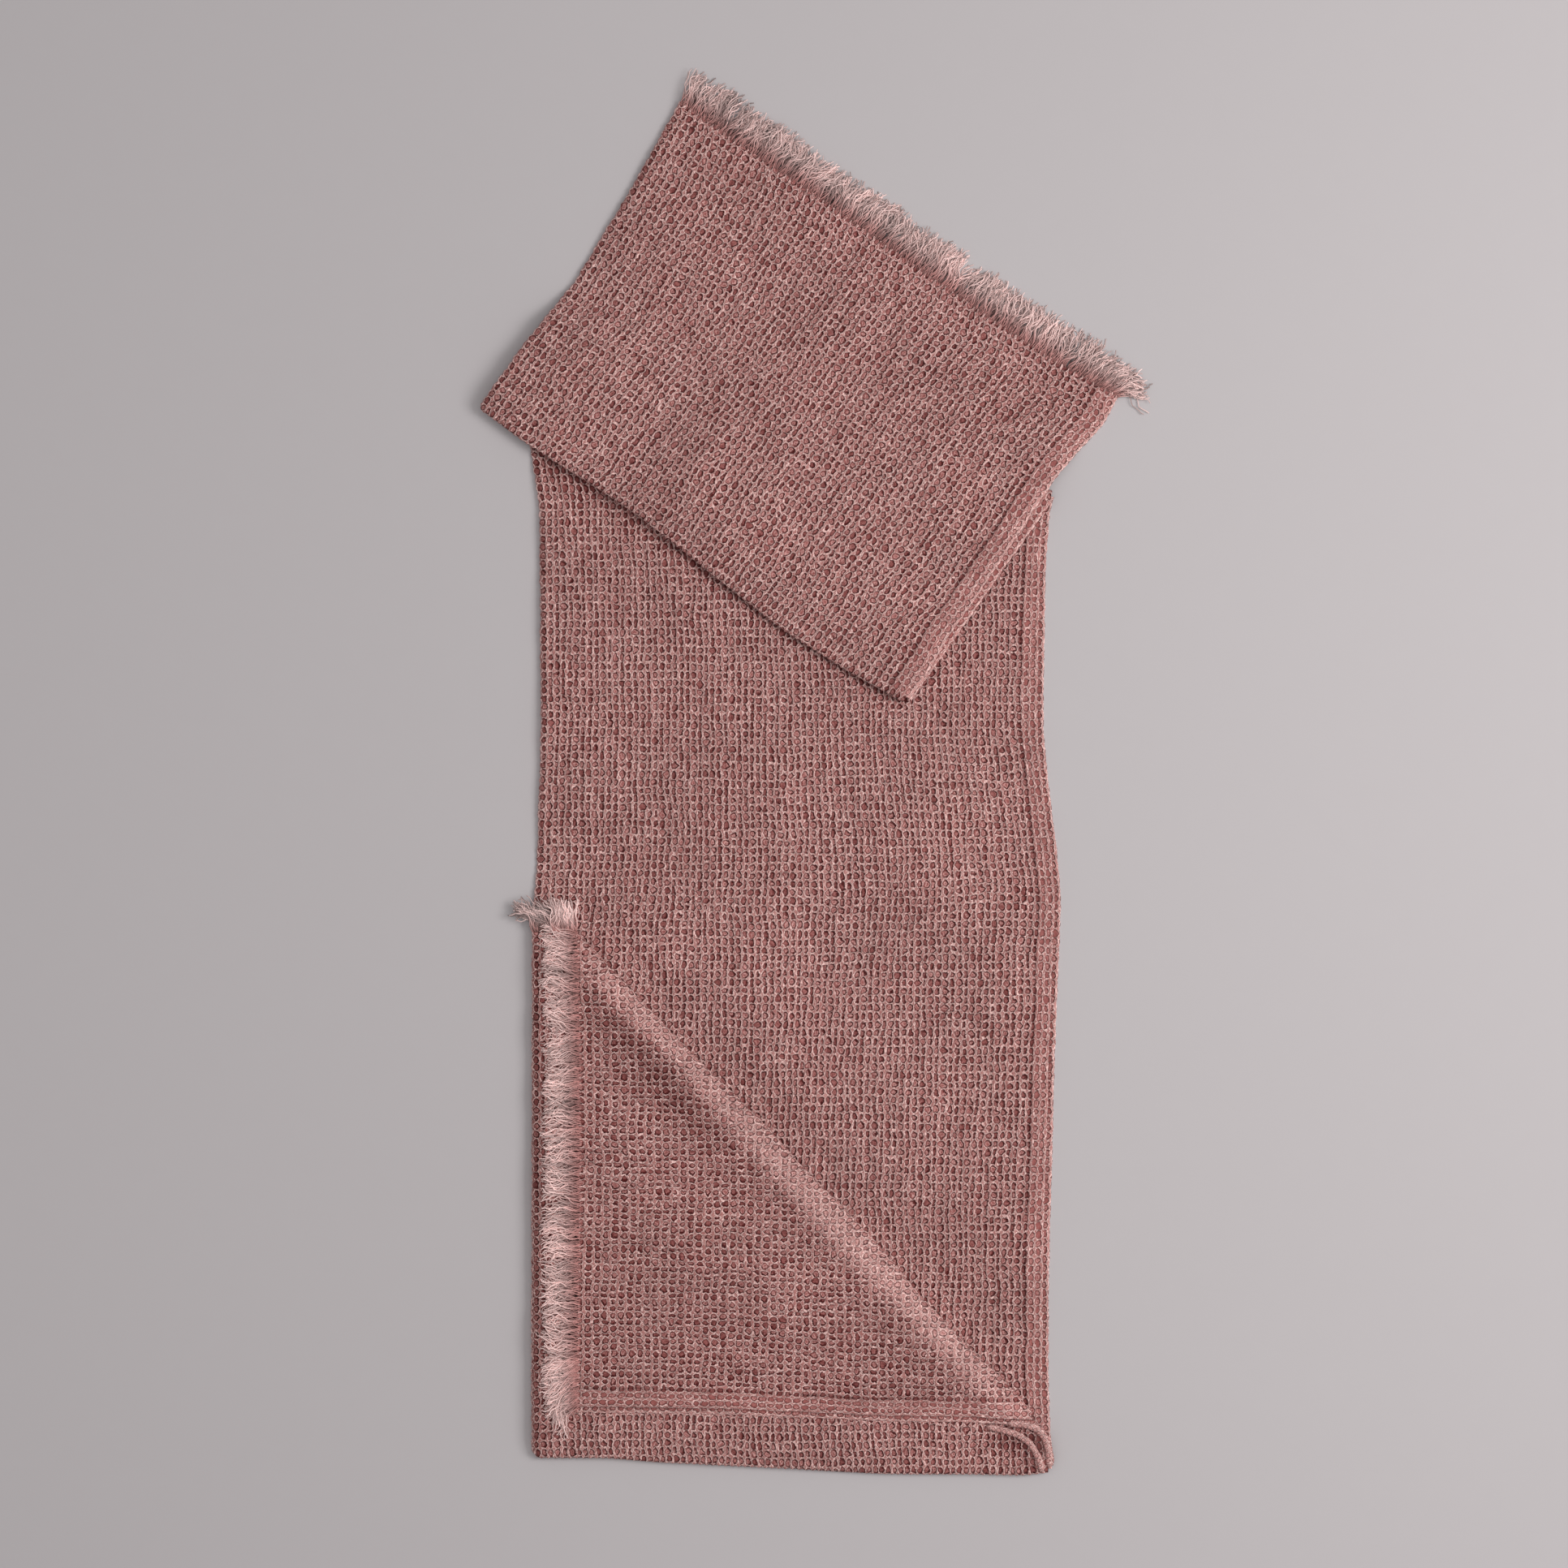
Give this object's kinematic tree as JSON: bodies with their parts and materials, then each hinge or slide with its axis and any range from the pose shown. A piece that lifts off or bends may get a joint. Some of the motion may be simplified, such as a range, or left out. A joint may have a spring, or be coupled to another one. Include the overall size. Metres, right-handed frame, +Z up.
{
  "type": "table runner",
  "caption": "Waffle-weave cloth table runner, folded in half lengthwise and laid in folds, with fringed short ends, sewn long hems and one corner turned back.",
  "frame": {"origin": "on the table under the middle of the folded runner's outline", "axes": "+X across the runner towards its hem side, +Y along it towards its upper fringed end, +Z up from the table"},
  "size_m": [0.4193, 0.8775, 0.0116],
  "materials": {
    "waffle_cloth": "matt stonewashed waffle weave, dusty rose",
    "hem_cloth": "matt pressed waffle weave, dusty rose",
    "fringe_thread": "matt loose yarn, light dusty rose",
    "sewing_thread": "matt sewing thread, dusty rose"
  },
  "bodies": {
    "main_run": {"main_lower_layer": "waffle_cloth", "main_upper_layer": "waffle_cloth", "main_spine_fold": "waffle_cloth", "main_lower_hem": "hem_cloth", "main_upper_hem": "hem_cloth", "main_hem_stitches": "sewing_thread", "bottom_fold_inner_roll": "waffle_cloth", "bottom_fold_outer_roll": "waffle_cloth", "crease_one_inner_roll": "waffle_cloth", "crease_one_outer_roll": "waffle_cloth"},
    "middle_run": {"middle_lower_layer": "waffle_cloth", "middle_upper_layer": "waffle_cloth", "middle_spine_fold": "waffle_cloth", "middle_lower_hem": "hem_cloth", "middle_upper_hem": "hem_cloth", "crease_two_inner_roll": "waffle_cloth", "crease_two_outer_roll": "waffle_cloth"},
    "top_run": {"top_lower_layer": "waffle_cloth", "top_upper_layer": "waffle_cloth", "top_spine_fold": "waffle_cloth", "top_lower_hem": "hem_cloth", "top_upper_hem": "hem_cloth", "top_hem_stitches": "sewing_thread", "top_lower_fringe": "fringe_thread", "top_upper_fringe": "fringe_thread", "top_fringe_stitches": "sewing_thread"},
    "turn_up": {"turn_up_lower_layer": "waffle_cloth", "turn_up_upper_layer": "waffle_cloth", "turn_up_spine_fold": "waffle_cloth", "turn_up_lower_hem": "hem_cloth", "turn_up_upper_hem": "hem_cloth", "turn_up_lower_fringe": "fringe_thread", "turn_up_upper_fringe": "fringe_thread", "turn_up_fringe_stitches": "sewing_thread", "ridge_inner_roll": "waffle_cloth", "ridge_outer_roll": "waffle_cloth"},
    "corner_flap": {"flap_lower_layer": "waffle_cloth", "flap_upper_layer": "waffle_cloth", "flap_lower_hem": "hem_cloth", "flap_upper_hem": "hem_cloth", "flap_hem_stitches": "sewing_thread", "flap_lower_fringe": "fringe_thread", "flap_upper_fringe": "fringe_thread", "flap_fringe_stitches": "sewing_thread"}
  },
  "joints": [
    {"name": "crease_one_fold", "type": "hinge", "parent": "main_run", "child": "middle_run", "pos_m": [-0.0131, 0.2253, 0.0037], "axis": [-0.9581, 0.2865, 0], "range_deg": [0, 165], "deforming": ["crease_one_inner_roll", "crease_one_outer_roll"]},
    {"name": "crease_two_fold", "type": "hinge", "parent": "middle_run", "child": "top_run", "pos_m": [-0.0736, 0.1394, 0.0077], "axis": [0.8241, -0.5664, 0], "range_deg": [0, 165], "deforming": ["crease_two_inner_roll", "crease_two_outer_roll"]},
    {"name": "bottom_fold_turn", "type": "hinge", "parent": "main_run", "child": "turn_up", "pos_m": [-0.0101, -0.4305, 0.0037], "axis": [0.9996, -0.0283, 0], "range_deg": [0, 170], "deforming": ["bottom_fold_inner_roll", "bottom_fold_outer_roll"]},
    {"name": "ridge_fold", "type": "hinge", "parent": "turn_up", "child": "corner_flap", "pos_m": [0.0011, -0.2517, 0.0077], "axis": [-0.6863, 0.7274, 0], "range_deg": [0, 170], "deforming": ["ridge_inner_roll", "ridge_outer_roll"]}
  ],
  "couplings": [
    {"joint": "crease_two_fold", "follows": "crease_one_fold", "ratio": 1}
  ]
}
